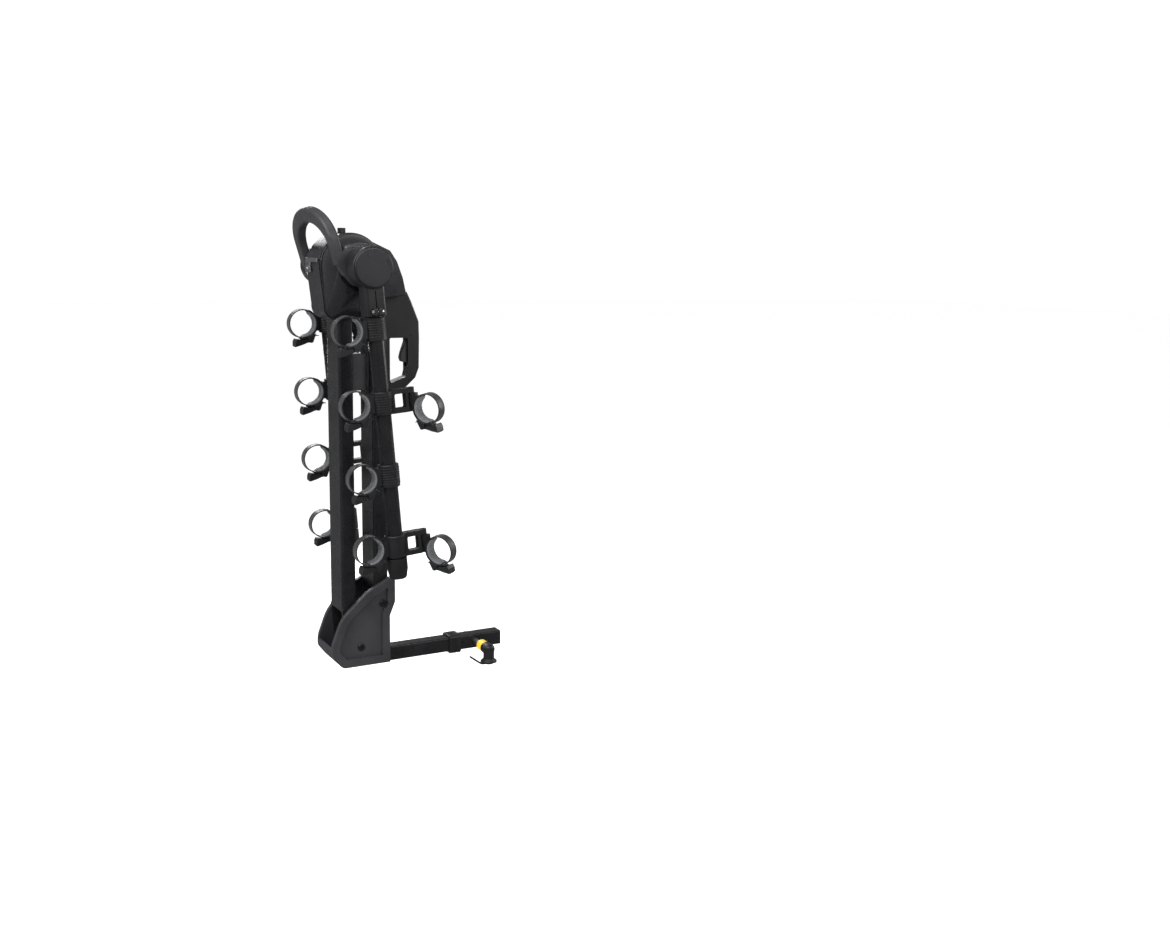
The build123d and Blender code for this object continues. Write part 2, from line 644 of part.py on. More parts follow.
def make_cheek(sign):
    x0 = CHEEK_X
    x1 = CHEEK_X + CHEEK_THICKNESS
    body = side_prism(head_face(CHEEK_INSET), x0, x1)
    body = fillet(body.edges().filter_by(lambda e: abs(e.center().X - x1) < 0.01), 2)
    for y, z in (REAR_TOP_PIVOT, FRONT_TOP_PIVOT):
        body -= rod_x(y, z, BOLT_RADIUS + BOLT_FIT, x0 - 1, x1 + 1)
        body -= rod_x(y, z, BOLT_HEAD_RADIUS + 0.4, x1 - BOLT_HEAD_HEIGHT - 0.35, x1 + 1)
    body -= rod_x(HUB_Y, HUB_Z, HUB_TUBE_RADIUS + 4, x0 - 1, x1 + 1)
    return body if sign > 0 else mirror(body, Plane.YZ)


def make_head_spine():
    """The band between the cheeks: over the front, the top and down the back."""
    face = head_face()
    band = face - offset(face, -SPINE_WALL)
    half = CHEEK_X - 0.1
    body = side_prism(band, -half, half)
    mast_rear = REAR_MAST_Y - MAST_DEPTH / 2
    keep = block(-half - 1, half + 1, HUB_Y - 90, mast_rear - 2, HEAD_BOTTOM_Z - 1, HUB_Z)
    keep += block(-half - 1, half + 1, HUB_Y - 90, HUB_Y, HUB_Z - 1, HUB_Z + 90)
    keep += block(-half - 1, half + 1, HUB_Y - 1, HEAD_NOSE_Y - 19, HUB_Z + 12, HUB_Z + 90)
    body = body & keep
    y = HUB_Y - DRUM_RADIUS
    return body - Pos(LOCK_X, y + 2, LOCK_Z) * Rot(90, 0, 0) * Cylinder(LOCK_RADIUS + 0.4, 30)


def make_lock_plate():
    """The bright plate on the back of the head: a full-width strip with a drop tab round the lock."""
    y1 = HUB_Y - DRUM_RADIUS - 0.05
    x0 = LOCK_X - LOCK_TAB_HALF
    plate = block(x0, -x0, y1 - LOCK_PLATE_THICKNESS, y1, LOCK_STRIP_Z, LOCK_STRIP_Z + LOCK_STRIP_HEIGHT)
    plate += block(x0, LOCK_X + LOCK_TAB_HALF, y1 - LOCK_PLATE_THICKNESS, y1, LOCK_Z - 12, LOCK_STRIP_Z + 1)
    plate = chamfer(plate.faces().sort_by(Axis.Y)[0].edges(), 0.7)
    return plate - Pos(LOCK_X, y1, LOCK_Z) * Rot(90, 0, 0) * Cylinder(LOCK_RADIUS + 0.4, 30)


def make_lock_barrel():
    y = HUB_Y - DRUM_RADIUS - LOCK_PLATE_THICKNESS + 1
    align = (Align.CENTER, Align.CENTER, Align.MIN)
    body = Pos(LOCK_X, y, LOCK_Z) * Rot(-90, 0, 0) * Cylinder(LOCK_RADIUS, LOCK_LENGTH, align=align)
    return body - block(LOCK_X - 1.1, LOCK_X + 1.1, y - 1, y + 9, LOCK_Z - 4, LOCK_Z + 4)


def make_top_tab():
    """The raised thumb tab on the crown of the head."""
    centre = HUB_Y - TAB_SETBACK
    top = HUB_Z + DRUM_RADIUS + TAB_HEIGHT
    body = block(-9, 9, centre - 6, centre + 6, HUB_Z + DRUM_RADIUS - 4, top)
    body = fillet(body.edges().filter_by(Axis.Z), 2)
    return body - rod_x(HUB_Y, HUB_Z, DRUM_RADIUS + 0.05, -30, 30)


def shoulder_section(x, radius, half_foot, drop, corner):
    """An arched outline round the hub axis: a half circle on sides that run down to a rounded foot."""
    base = -drop + corner
    turn = corner * cos(radians(45))
    centre = half_foot - corner
    edges = [
        ThreePointArc((-radius, 0), (0, radius), (radius, 0)),
        Line((radius, 0), (half_foot, base)),
        ThreePointArc((half_foot, base), (centre + turn, base - turn), (centre, -drop)),
        Line((centre, -drop), (-centre, -drop)),
        ThreePointArc((-centre, -drop), (-centre - turn, base - turn), (-half_foot, base)),
        Line((-half_foot, base), (-radius, 0)),
    ]
    return Plane.YZ.offset(x) * Pos(HUB_Y, HUB_Z) * make_face(edges)


def shoulder_form(wall, x1):
    """The solid bulge from the cheek's flank to the round end by the neck, drawn in by a wall."""
    x0 = CHEEK_X + CHEEK_THICKNESS + 0.1
    wide = DRUM_RADIUS - SHOULDER_INSET - wall
    end = SHOULDER_END_RADIUS - wall
    foot = HUB_Z - HEAD_BOTTOM_Z - SHOULDER_INSET - wall
    return loft([
        shoulder_section(x0, wide, wide - 8, foot - 2, 16),
        shoulder_section((x0 + x1) / 2, wide - 4, wide - 14, foot - 24, 34),
        shoulder_section(x1, end, end - 0.1, end, end - 2),
    ])


def make_shoulder(sign):
    """The smooth flank cover between the head and the arm hub, with the neck that the bail turns on."""
    x1 = SHOULDER_END_X
    body = shoulder_form(0, x1) - shoulder_form(SHOULDER_WALL, x1 - SHOULDER_WALL)
    body += rod_x(HUB_Y, HUB_Z, NECK_RADIUS, x1 - NECK_ROOT, NECK_END_X)
    body -= rod_x(HUB_Y, HUB_Z, HUB_TUBE_RADIUS + BUSHING_WALL + HUB_FIT, x1 - NECK_ROOT - 1, NECK_END_X + 1)
    return body if sign > 0 else mirror(body, Plane.YZ)


def make_hub_bushings():
    pieces = []
    for sign in SIDES.values():
        tube = Circle(HUB_TUBE_RADIUS + BUSHING_WALL) - Circle(HUB_TUBE_RADIUS + HUB_FIT)
        body = side_prism(Pos(HUB_Y, HUB_Z) * tube, SHOULDER_END_X - NECK_ROOT + 1, NECK_END_X)
        pieces.append(body if sign > 0 else mirror(body, Plane.YZ))
    return Compound(children=pieces)


# ---------------------------------------------------------------- hub, arms and bail

def make_hub_tube():
    end = ARM_X + ARM_HUB_HALF - 3
    section = Circle(HUB_TUBE_RADIUS) - Circle(HUB_TUBE_RADIUS - HUB_TUBE_WALL)
    return side_prism(Pos(HUB_Y, HUB_Z) * section, -end, end)


def arm_place(sign):
    return Pos(sign * ARM_X, HUB_Y, HUB_Z) * Rot(ARM_LEAN, 0, 0)


def socket_bolt_place():
    """The pinch bolt's X and Z in the arm's frame, for the right-hand arm."""
    return SOCKET_HALF + SOCKET_BOLT_SETOUT, -SOCKET_END + SOCKET_LUG_HEIGHT / 2


def make_arm_hub(sign):
    """The casting that joins the hub tube to the arm tube, slit and pinched on its outer face."""
    body = rod_x(0, 0, ARM_HUB_RADIUS, -ARM_HUB_HALF, ARM_HUB_HALF)
    body = fillet(body.edges(), 3)
    socket = extrude(Pos(0, 0, -SOCKET_END) * RectangleRounded(2 * SOCKET_HALF, 2 * SOCKET_HALF + 2, 8), SOCKET_END)
    reach = SOCKET_HALF + SOCKET_LUG_REACH
    lug_top = -SOCKET_END + SOCKET_LUG_HEIGHT
    lug = block(SOCKET_HALF - 4, reach, -SOCKET_LUG_HALF, SOCKET_LUG_HALF, -SOCKET_END, lug_top)
    lug = fillet(lug.edges().filter_by(Axis.Y).group_by(Axis.X)[-1], 4)
    body += socket + lug
    body -= block(ARM_TUBE_RADIUS - 3, reach + 1, -1, 1, -SOCKET_END - 1, -SOCKET_END + SOCKET_SLIT)
    tube = Pos(0, 0, -SOCKET_END - 1) * Cylinder(
        ARM_TUBE_RADIUS + 0.05, SOCKET_END + 1 - ARM_TUBE_START + 0.1, align=(Align.CENTER, Align.CENTER, Align.MIN)
    )
    body -= tube
    body -= rod_x(0, 0, HUB_TUBE_RADIUS + 0.02, -ARM_HUB_HALF - 1, ARM_HUB_HALF - 2.9)
    x, z = socket_bolt_place()
    body -= rod_y(x, z, SOCKET_BOLT_RADIUS + BOLT_FIT, -SOCKET_LUG_HALF - 1, SOCKET_LUG_HALF + 1)
    body = body if sign > 0 else mirror(body, Plane.YZ)
    return arm_place(sign) * body


def make_hub_caps():
    pieces = []
    for sign in SIDES.values():
        start = ARM_HUB_HALF + 0.05
        cap = rod_x(0, 0, CAP_RADIUS, start, start + CAP_THICKNESS)
        cap = fillet(cap.edges().sort_by(Axis.X)[-1], 2.5)
        cap = cap if sign > 0 else mirror(cap, Plane.YZ)
        pieces.append(arm_place(sign) * cap)
    return Compound(children=pieces)


def make_arm_tube(sign):
    section = Circle(ARM_TUBE_RADIUS) - Circle(ARM_TUBE_RADIUS - ARM_TUBE_WALL)
    return arm_place(sign) * extrude(Pos(0, 0, -ARM_TUBE_END) * section, ARM_TUBE_END - ARM_TUBE_START)


def make_arm_end_caps():
    """The plugs in the arm tubes, each with a skirt outside the tube that tapers at the tip."""
    pieces = []
    spigot = ARM_TUBE_RADIUS - ARM_TUBE_WALL - PLUG_FIT
    inner = ARM_TUBE_RADIUS + PLUG_FIT
    end = -ARM_TUBE_END
    for sign in SIDES.values():
        profile = Polyline(
            (0, end + 12),
            (spigot, end + 12),
            (spigot, end - PLUG_FIT),
            (inner, end - PLUG_FIT),
            (inner, end + PLUG_SKIRT),
            (CLAMP_RADIUS, end + PLUG_SKIRT),
            (CLAMP_RADIUS, end + 5),
            (CLAMP_RADIUS - 3.4, end - 12),
            (CLAMP_RADIUS - 5.4, end - 14),
            (0, end - 14),
            close=True,
        )
        plug = revolve(make_face(Plane.XZ * profile), Axis.Z, 360)
        pieces.append(arm_place(sign) * plug)
    return Compound(children=pieces)


def make_socket_bolts():
    pieces = []
    x, z = socket_bolt_place()
    face = SOCKET_LUG_HALF + 0.05
    for sign in SIDES.values():
        shank = rod_y(x, z, SOCKET_BOLT_RADIUS, -face - 4, face + 0.5)
        head = rod_y(x, z, SOCKET_BOLT_HEAD, face, face + 4)
        head = chamfer(head.edges().sort_by(Axis.Y)[-1], 0.8)
        head -= Pos(x, face + 2, z) * Rot(-90, 0, 0) * extrude(RegularPolygon(2.2, 6), 3)
        nut = Pos(x, -face - 4, z) * Rot(-90, 0, 0) * extrude(RegularPolygon(4.4, 6), 4)
        whole = shank + head + nut
        whole = whole if sign > 0 else mirror(whole, Plane.YZ)
        pieces.append(arm_place(sign) * whole)
    return Compound(children=pieces)


def bail_plane():
    """The leaning plane of the bail: local x is X, local y runs up the bail."""
    origin = (0, HUB_Y - BAIL_SETBACK, HUB_Z)
    up = (0, -sin(radians(BAIL_TILT)), cos(radians(BAIL_TILT)))
    normal = Vector(1, 0, 0).cross(Vector(*up))
    return Plane(origin=origin, x_dir=(1, 0, 0), z_dir=normal)


def arch_half(half_width, top, rise, foot):
    """A closed arch outline: straight legs under half an ellipse."""
    spring = top - rise
    curve = EllipticalCenterArc((0, spring), half_width, rise, start_angle=0, arc_size=180)
    sides = Polyline((-half_width, spring), (-half_width, foot), (half_width, foot), (half_width, spring))
    return make_face([curve, sides])


def make_bail_handle():
    foot = 6.0
    outer = arch_half(BAIL_HALF_WIDTH, BAIL_HEIGHT, 66, foot)
    inner = arch_half(BAIL_HALF_WIDTH - BAIL_BAND, BAIL_HEIGHT - BAIL_TOP_BAND, 52, foot - 20)
    plane = bail_plane()
    body = extrude(plane.offset(-BAIL_THICKNESS / 2) * (outer - inner), BAIL_THICKNESS)
    long_edges = body.edges().filter_by(lambda e: e.center().Z > HUB_Z + 14)
    body = fillet(long_edges, 5)
    x1 = BAIL_HALF_WIDTH + 1.8
    x0 = x1 - BAIL_COLLAR_WIDTH
    lean = radians(BAIL_TILT)
    rear = HUB_Y - BAIL_SETBACK
    root = outline([
        (HUB_Y - 6, HUB_Z - BAIL_COLLAR_RADIUS + 1),
        (rear + 2, HUB_Z - 16),
        (rear - BAIL_THICKNESS / 2 * cos(lean), HUB_Z + 4),
        (rear - 14 * sin(lean) - BAIL_THICKNESS / 2, HUB_Z + 22),
        (rear + BAIL_THICKNESS / 2 - 6, HUB_Z + 30),
        (HUB_Y - 4, HUB_Z + BAIL_COLLAR_RADIUS - 0.5),
    ])
    collar = Pos(HUB_Y, HUB_Z) * Circle(BAIL_COLLAR_RADIUS) + root
    bore = NECK_RADIUS + HUB_FIT
    for sign in SIDES.values():
        ear = side_prism(collar, x0, x1)
        body += ear if sign > 0 else mirror(ear, Plane.YZ)
    body -= rod_x(HUB_Y, HUB_Z, bore, -BAIL_HALF_WIDTH - 5, BAIL_HALF_WIDTH + 5)
    for sign in SIDES.values():
        start = CHEEK_X + SHOULDER_LENGTH / 3
        relief = rod_x(HUB_Y, HUB_Z, SHOULDER_END_RADIUS + 4, sign * start, sign * (SHOULDER_END_X + 0.8))
        body -= fillet(relief.edges(), 2)
    return body


# ---------------------------------------------------------------- cradles

def cradle_clamp():
    """The split sleeve round the arm tube, centred on the cradle's height."""
    outer = Cylinder(CLAMP_RADIUS, CLAMP_HEIGHT)
    outer = chamfer(outer.edges(), 1.5)
    return outer - Cylinder(ARM_TUBE_RADIUS + 0.06, CLAMP_HEIGHT + 2)


def hard_cradle_face(direction):
    """The rigid C behind the pad; direction is +1 when the arm tube is on its +Y side."""
    arc = ring_sector(RING_RADIUS - RING_WALL, RING_RADIUS, -100, 62)
    return arc if direction > 0 else mirror(arc, Plane.YZ)


def lever_lug_face():
    pivot = (LEVER_PIVOT_U, LEVER_PIVOT_V)
    low = -RING_RADIUS
    web = outline([(4, low + 3.5), (24, low + 9.1), (17.5, low - 5.4), (6.8, low - 5.4)])
    return web + Pos(*pivot) * Circle(5.2) - Circle(RING_RADIUS - 2)


def lever_face():
    low = -RING_RADIUS
    points = [
        (16.5, low - 2.9),
        (12, low - 1.3),
        (2, low - 1.8),
        (-9, low - 1.6),
        (-18, low + 1.4),
        (-21.5, low - 4.9),
        (-22.5, low - 15.4),
        (-8, low - 12.9),
        (4, low - 9.4),
        (14, low - 9.0),
    ]
    return outline(points, 1.2) - Circle(RING_RADIUS + 0.6)


def cradle_hard_body(direction):
    """The rigid cradle ring part with its lever lugs, at the ring's centre."""
    half = CRADLE_HALF_WIDTH
    body = side_prism(hard_cradle_face(direction), -half, half)
    lug = lever_lug_face() if direction > 0 else mirror(lever_lug_face(), Plane.YZ)
    pivot_u = direction * LEVER_PIVOT_U
    for x0, x1 in ((half - 0.5, half + LUG_THICKNESS - 0.5), (-half - LUG_THICKNESS + 0.5, -half + 0.5)):
        body += side_prism(lug, x0, x1)
    return body - rod_x(pivot_u, LEVER_PIVOT_V, LEVER_PIN_RADIUS + LEVER_FIT, -30, 30)


def make_lever(direction):
    half = LEVER_HALF_WIDTH
    face = lever_face() if direction > 0 else mirror(lever_face(), Plane.YZ)
    body = side_prism(face, -half, half)
    trunnion = CRADLE_HALF_WIDTH + LUG_THICKNESS - 0.8
    return body + rod_x(direction * LEVER_PIVOT_U, LEVER_PIVOT_V, LEVER_PIN_RADIUS, -trunnion, trunnion)


def pad_body(direction):
    outer = RING_RADIUS - RING_WALL - SOFT_GAP / 2
    arc = ring_sector(outer - PAD_THICKNESS, outer, -96, 58)
    arc = arc if direction > 0 else mirror(arc, Plane.YZ)
    return side_prism(arc, -CRADLE_HALF_WIDTH + 0.5, CRADLE_HALF_WIDTH - 0.5)


def strap_body(direction):
    outer = RING_RADIUS - 1.0
    arc = ring_sector(outer - STRAP_THICKNESS, outer, 63, 259)
    arc = arc if direction > 0 else mirror(arc, Plane.YZ)
    return side_prism(arc, -STRAP_HALF_WIDTH, STRAP_HALF_WIDTH)


def cradle_height(number):
    """Distance of a cradle from the hub axis along the arm; the first is nearest the hub."""
    return CRADLE_FIRST + (number - 1) * CRADLE_PITCH


def ring_place(sign, number):
    return arm_place(sign) * Pos(0, -CRADLE_REACH, -cradle_height(number))


def sway_place(sign, number):
    """The ring's place: turned outwards about the bracket's upright pivot, and a little lower."""
    pivot = arm_place(sign) * Pos(0, SWAY_PIVOT_REACH, -cradle_height(number))
    return pivot * Rot(0, 0, -sign * SWAY_TURN) * Pos(0, SWAY_RING_REACH, -SWAY_DROP)


def cradle_numbers():
    return range(1, CRADLE_COUNT + 1)


def make_saddles(sign):
    pieces = []
    for number in cradle_numbers():
        hard = Pos(0, -CRADLE_REACH, 0) * cradle_hard_body(1)
        bridge = block(-9, 9, -CRADLE_REACH + RING_RADIUS - 2, -ARM_TUBE_RADIUS - 2, -18, 18)
        bridge -= Pos(0, -CRADLE_REACH, 0) * Rot(0, 90, 0) * Cylinder(RING_RADIUS - RING_WALL, 40)
        bridge -= Cylinder(ARM_TUBE_RADIUS + 1, CLAMP_HEIGHT + 2)
        body = hard + bridge + cradle_clamp_half()
        pieces.append(arm_place(sign) * Pos(0, 0, -cradle_height(number)) * body)
    return Compound(children=pieces)


def cradle_clamp_half():
    """The clamp sleeve of a plain cradle, narrowed where an anti-sway bracket shares the tube."""
    return cradle_clamp() & block(-40, 40, -40, -0.15, -40, 40)


def front_half_clamp():
    return cradle_clamp() & block(-40, 40, 0.15, 40, -40, 40)


def make_brackets(sign, side):
    """The front halves of the clamps: plain, or with the window frame of an anti-sway cradle."""
    pieces = []
    for number in cradle_numbers():
        body = front_half_clamp()
        if number in SWAY_POSITIONS[side]:
            body += sway_frame()
        pieces.append(arm_place(sign) * Pos(0, 0, -cradle_height(number)) * body)
    return Compound(children=pieces)


def sway_frame():
    half = SWAY_FRAME_HALF
    pivot = SWAY_PIVOT_REACH
    start = ARM_TUBE_RADIUS + 1.5
    lug = SWAY_LUG_HALF_WIDTH
    frame = block(-9, 9, start, SWAY_WINDOW_END + 6, -half, half)
    frame += block(-lug, lug, SWAY_WINDOW_END + 5, pivot, -half, half)
    frame += Pos(0, pivot, 0) * Cylinder(lug, 2 * half)
    window = block(-20, 20, SWAY_WINDOW_START, SWAY_WINDOW_END, -SWAY_WINDOW_HALF, SWAY_WINDOW_HALF)
    frame -= fillet(window.edges().filter_by(Axis.X), 3)
    frame -= Cylinder(ARM_TUBE_RADIUS + 1, 100)
    gap = SWAY_BARREL_HALF + 0.3
    frame -= block(-20, 20, pivot - lug - 1.5, pivot + lug + 1, -gap, gap)
    return frame - Pos(0, pivot, 0) * Cylinder(SWAY_TRUNNION_RADIUS + HUB_FIT, 100)


def make_sway_cradle(sign, number):
    """An anti-sway cradle: rigid C with trunnions, and its pad and strap as loose soft pieces."""
    hard = cradle_hard_body(-1)
    back = -SWAY_RING_REACH
    barrel = Pos(0, back, SWAY_DROP) * Cylinder(SWAY_LUG_HALF_WIDTH - 0.4, 2 * SWAY_BARREL_HALF)
    trunnion = Pos(0, back, SWAY_DROP) * Cylinder(SWAY_TRUNNION_RADIUS, 2 * SWAY_FRAME_HALF - 2)
    stem = block(-5, 5, back, -RING_RADIUS + 4, SWAY_DROP - SWAY_BARREL_HALF, SWAY_DROP + SWAY_BARREL_HALF)
    stem -= Rot(0, 90, 0) * Cylinder(RING_RADIUS - RING_WALL, 40)
    body = hard + stem + barrel + trunnion
    return sway_place(sign, number) * Compound(children=[body, pad_body(-1), strap_body(-1)])


def make_soft(sign, shape):
    return Compound(children=[ring_place(sign, number) * shape for number in cradle_numbers()])


def build():
    parts = {
        "base_channel": make_base_channel(),
        "hitch_shank": make_hitch_shank(),
        "shank_collar": make_shank_collar(),
        "hitch_pin": make_hitch_pin(),
        "pin_ring": make_pin_ring(),
        "pin_knob": make_pin_knob(),
        "pin_strap": make_pin_strap(),
        "base_pivot_bolts": bolt_pair((REAR_PIVOT, FRONT_PIVOT), BASE_PANEL_X + BASE_PANEL_THICKNESS),
        "base_pivot_nuts": bolt_pair((REAR_PIVOT, FRONT_PIVOT), BASE_PANEL_X + BASE_PANEL_THICKNESS, True),
        "rear_mast": make_rear_mast(),
        "front_mast": make_front_mast(),
        "mast_bumper": make_mast_bumper(),
        "handle_frame": make_handle_frame(),
        "release_trigger": make_release_trigger(),
        "trigger_pin": make_trigger_pin(),
        "release_plunger": make_release_plunger(),
        "head_spine": make_head_spine(),
        "head_pivot_pins": make_head_pivot_pins(),
        "lock_plate": make_lock_plate(),
        "lock_barrel": make_lock_barrel(),
        "top_tab": make_top_tab(),
        "hub_bushings": make_hub_bushings(),
        "hub_tube": make_hub_tube(),
        "hub_caps": make_hub_caps(),
        "arm_end_caps": make_arm_end_caps(),
        "socket_bolts": make_socket_bolts(),
        "bail_handle": make_bail_handle(),
    }
    for side, sign in SIDES.items():
        parts[f"head_cheek_{side}"] = make_cheek(sign)
        parts[f"shoulder_{side}"] = make_shoulder(sign)
        parts[f"arm_hub_{side}"] = make_arm_hub(sign)
        parts[f"arm_tube_{side}"] = make_arm_tube(sign)
        parts[f"saddles_{side}"] = make_saddles(sign)
        parts[f"brackets_{side}"] = make_brackets(sign, side)
        parts[f"pads_{side}"] = make_soft(sign, pad_body(1))
        parts[f"straps_{side}"] = make_soft(sign, strap_body(1))
        for number in cradle_numbers():
            parts[f"lever_{side}_{number}"] = ring_place(sign, number) * make_lever(1)
        for number in SWAY_POSITIONS[side]:
            parts[f"sway_cradle_{side}_{number}"] = make_sway_cradle(sign, number)
            parts[f"sway_lever_{side}_{number}"] = sway_place(sign, number) * make_lever(-1)
    return parts


os.makedirs("parts", exist_ok=True)
for node, shape in build().items():
    export_step(shape, f"parts/{node}.step")
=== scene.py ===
"""The looks of the hitch mounted bike rack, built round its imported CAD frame. Lengths are in metres."""

import json
from math import atan2, cos, pi, radians, sin

import bpy
from mathutils import Matrix, Vector


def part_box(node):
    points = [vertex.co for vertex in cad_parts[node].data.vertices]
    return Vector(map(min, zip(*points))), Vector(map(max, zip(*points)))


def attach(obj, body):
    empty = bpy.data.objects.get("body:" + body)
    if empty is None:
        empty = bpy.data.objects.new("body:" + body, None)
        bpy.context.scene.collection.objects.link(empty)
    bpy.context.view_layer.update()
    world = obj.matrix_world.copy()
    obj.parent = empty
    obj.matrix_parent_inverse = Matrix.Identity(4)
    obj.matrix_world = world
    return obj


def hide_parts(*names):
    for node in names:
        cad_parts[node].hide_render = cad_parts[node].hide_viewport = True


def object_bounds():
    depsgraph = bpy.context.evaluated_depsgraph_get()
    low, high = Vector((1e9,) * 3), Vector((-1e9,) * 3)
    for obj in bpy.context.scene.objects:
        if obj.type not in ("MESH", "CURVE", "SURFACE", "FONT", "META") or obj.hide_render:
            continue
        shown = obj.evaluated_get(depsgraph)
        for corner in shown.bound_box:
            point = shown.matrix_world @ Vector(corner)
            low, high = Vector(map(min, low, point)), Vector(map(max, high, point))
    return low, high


MM = 0.001
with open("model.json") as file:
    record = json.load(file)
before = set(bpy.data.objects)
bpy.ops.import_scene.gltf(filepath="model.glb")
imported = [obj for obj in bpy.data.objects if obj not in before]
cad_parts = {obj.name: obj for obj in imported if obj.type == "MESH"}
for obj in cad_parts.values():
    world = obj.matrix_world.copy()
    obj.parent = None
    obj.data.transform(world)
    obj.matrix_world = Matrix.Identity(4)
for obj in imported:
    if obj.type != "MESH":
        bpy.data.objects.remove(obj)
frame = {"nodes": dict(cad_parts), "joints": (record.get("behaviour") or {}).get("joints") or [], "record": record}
CAD_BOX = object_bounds()
NODES = frame["nodes"]
JOINTS = {joint["name"]: joint for joint in frame["joints"]}
OPENINGS = {entry["name"]: entry["box_m"] for entry in frame["record"]["physics"]["openings"]}
SWIVEL = Vector(JOINTS["sway_swivel_right_2"]["axis"])
LEAN = atan2(-SWIVEL.y, SWIVEL.z)
SIDES = ("right", "left")
SWAY = {"right": (2, 4), "left": (1, 3)}
CRADLES = (1, 2, 3, 4)
END_CRADLE = 4

# Cradle sizes in millimetres and degrees, in the ring's own frame.
PAD_FROM, PAD_TO, PAD_RIB = -96, 58, 7.0
PAD_BACK, PAD_FACE, PAD_HALF = 27.6, 24.7, 11.4
STRAP_FROM, STRAP_TO, STRAP_TOOTH = 63, 259, 4.6
STRAP_HALF = 10.4
TAIL_HALF, TAIL_THICK = 8.2, 0.85
TAIL_PATH = [(-9, -31.2), (0, -33.1), (8, -32.6), (15, -31.2), (22, -28.8), (28, -27.6), (33, -29.0)]
THUMB_RIDGES = [(-20.8, -47.3), (-18.2, -46.8), (-15.6, -46.2), (-13.0, -45.7), (-10.4, -45.1), (-7.8, -44.5)]
THUMB_HALF = 9.6
LEVER_EDGE = [(-20, -36.2), (-21.2, -45.6), (-8, -43.0), (4, -39.7), (13, -39.4)]
LEVER_EDGE_X = 10.9
CLAMP_REACH, CLAMP_RADIUS = 56.5, 20.9
CLAMP_RIBS = (-15, -10, -5, 0, 5, 10, 15)

# The camera that matches the photograph's view: yaw, pitch and roll in degrees, then place and lens.
CAMERA_TURN = (59.8, 9.7, 1.05)
CAMERA_PLACE = (2.456, -1.144, 0.856)
CAMERA_LENS = 38.215
FLOOR_DROP = 0.38
LIGHT_TARGET = (0, -0.25, 0.5)


# ---------------------------------------------------------------- materials

def new_material(name):
    material = bpy.data.materials.new(name)
    material.use_nodes = True
    nodes = material.node_tree.nodes
    nodes.clear()
    out = nodes.new("ShaderNodeOutputMaterial")
    shader = nodes.new("ShaderNodeBsdfPrincipled")
    material.node_tree.links.new(shader.outputs["BSDF"], out.inputs["Surface"])
    return material, nodes, material.node_tree.links, shader


def noise(nodes, links, coords, scale, detail=3.0, roughness=0.55):
    texture = nodes.new("ShaderNodeTexNoise")
    texture.inputs["Scale"].default_value = scale
    texture.inputs["Detail"].default_value = detail
    texture.inputs["Roughness"].default_value = roughness
    links.new(coords, texture.inputs["Vector"])
    return texture.outputs["Fac"]


def ramp(nodes, links, source, low, high, a=0.35, b=0.65):
    """Map a grey pattern to a range between two values."""
    node = nodes.new("ShaderNodeMapRange")
    node.inputs["From Min"].default_value = a
    node.inputs["From Max"].default_value = b
    node.inputs["To Min"].default_value = low
    node.inputs["To Max"].default_value = high
    links.new(source, node.inputs["Value"])
    return node.outputs["Result"]


def mix_colour(nodes, links, factor, first, second):
    node = nodes.new("ShaderNodeMix")
    node.data_type = "RGBA"
    node.inputs[6].default_value = (*first, 1)
    node.inputs[7].default_value = (*second, 1)
    links.new(factor, node.inputs[0])
    return node.outputs[2]


def stretched(nodes, links, source, scale):
    node = nodes.new("ShaderNodeMapping")
    node.inputs["Scale"].default_value = scale
    links.new(source, node.inputs["Vector"])
    return node.outputs["Vector"]


def finish_material(name, base, varied, rough, metallic=0.0, grain=2200.0, bump=0.12, edge=0.6 * MM,
                    coat=0.0, sheen=0.0, stretch=None, specular=0.28):
    """One finish: colour variation, roughness variation, a fine grain and softened edges."""
    material, nodes, links, shader = new_material(name)
    coords = nodes.new("ShaderNodeTexCoord").outputs["Object"]
    fine = stretched(nodes, links, coords, stretch) if stretch else coords
    cloudy = noise(nodes, links, coords, 14.0, 4.0)
    blotch = noise(nodes, links, coords, 55.0, 5.0)
    colour = mix_colour(nodes, links, ramp(nodes, links, cloudy, 0.0, 1.0), base, varied)
    grain_pattern = noise(nodes, links, fine, grain, 2.0)
    shader.inputs["Metallic"].default_value = metallic
    shader.inputs["Specular IOR Level"].default_value = specular
    shader.inputs["Coat Weight"].default_value = coat
    shader.inputs["Coat Roughness"].default_value = 0.12
    shader.inputs["Sheen Weight"].default_value = sheen
    roughness = ramp(nodes, links, blotch, rough[0], rough[1])
    links.new(roughness, shader.inputs["Roughness"])
    bevel = nodes.new("ShaderNodeBevel")
    bevel.samples = 4
    bevel.inputs["Radius"].default_value = edge
    relief = nodes.new("ShaderNodeBump")
    relief.inputs["Strength"].default_value = bump
    relief.inputs["Distance"].default_value = 0.0003
    links.new(grain_pattern, relief.inputs["Height"])
    links.new(bevel.outputs["Normal"], relief.inputs["Normal"])
    links.new(relief.outputs["Normal"], shader.inputs["Normal"])
    links.new(colour, shader.inputs["Base Color"])
    return material


